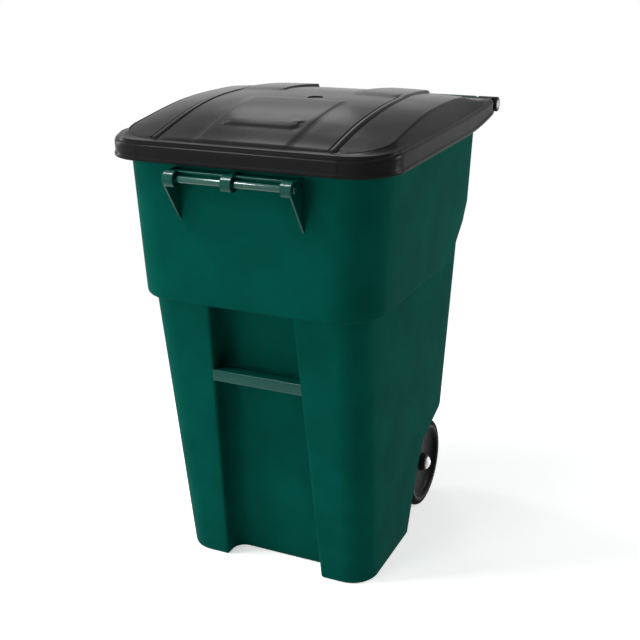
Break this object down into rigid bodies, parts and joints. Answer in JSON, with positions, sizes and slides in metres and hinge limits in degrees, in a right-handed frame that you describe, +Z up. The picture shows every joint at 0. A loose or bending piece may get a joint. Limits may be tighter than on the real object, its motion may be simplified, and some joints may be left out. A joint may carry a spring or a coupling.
{
  "type": "wheeled trash can",
  "caption": "Tall moulded rollout waste container with a hinged domed lid, rear handle, front grip and lift bar, and wheels on a steel axle.",
  "frame": {"origin": "middle of the footprint box, on the ground", "axes": "+Z up, -Y the front with the grip and the lift bar, +Y the rear with the handle and the wheels, +X to the right seen from the front"},
  "size_m": [0.594, 0.724, 0.9867],
  "materials": {
    "bin_plastic": "semi-gloss moulded polyethylene",
    "lid_plastic": "satin moulded polyethylene",
    "lift_bar_steel": "green painted steel",
    "pin_steel": "plain steel",
    "axle_steel": "zinc-plated steel",
    "washer_steel": "zinc-plated steel",
    "cap_steel": "bright plated steel",
    "wheel_plastic": "satin moulded plastic",
    "tyre_rubber": "solid rubber",
    "bush_nylon": "natural nylon",
    "spacer_plastic": "moulded plastic"
  },
  "bodies": {
    "container": {"bin_body": "bin_plastic", "lift_bar": "lift_bar_steel", "hinge_pin_left": "pin_steel", "hinge_pin_right": "pin_steel", "axle": "axle_steel", "axle_spacer_left": "spacer_plastic", "axle_spacer_right": "spacer_plastic", "axle_washer_left": "washer_steel", "axle_washer_right": "washer_steel", "axle_cap_left": "cap_steel", "axle_cap_right": "cap_steel"},
    "lid_body": {"lid": "lid_plastic"},
    "wheel_set_left": {"wheel_left": "wheel_plastic", "tyre_left": "tyre_rubber", "hub_bush_inner_left": "bush_nylon", "hub_bush_outer_left": "bush_nylon"},
    "wheel_set_right": {"wheel_right": "wheel_plastic", "tyre_right": "tyre_rubber", "hub_bush_inner_right": "bush_nylon", "hub_bush_outer_right": "bush_nylon"}
  },
  "joints": [
    {"name": "lid_hinge", "type": "hinge", "parent": "container", "child": "lid_body", "pos_m": [0, 0.346, 0.93], "axis": [-1, 0, 0], "range_deg": [0, 265]},
    {"name": "wheel_left_spin", "type": "hinge", "parent": "container", "child": "wheel_set_left", "pos_m": [-0.1839, 0.179, 0.103], "axis": [1, 0, 0], "continuous": true},
    {"name": "wheel_right_spin", "type": "hinge", "parent": "container", "child": "wheel_set_right", "pos_m": [0.1839, 0.179, 0.103], "axis": [1, 0, 0], "continuous": true}
  ]
}
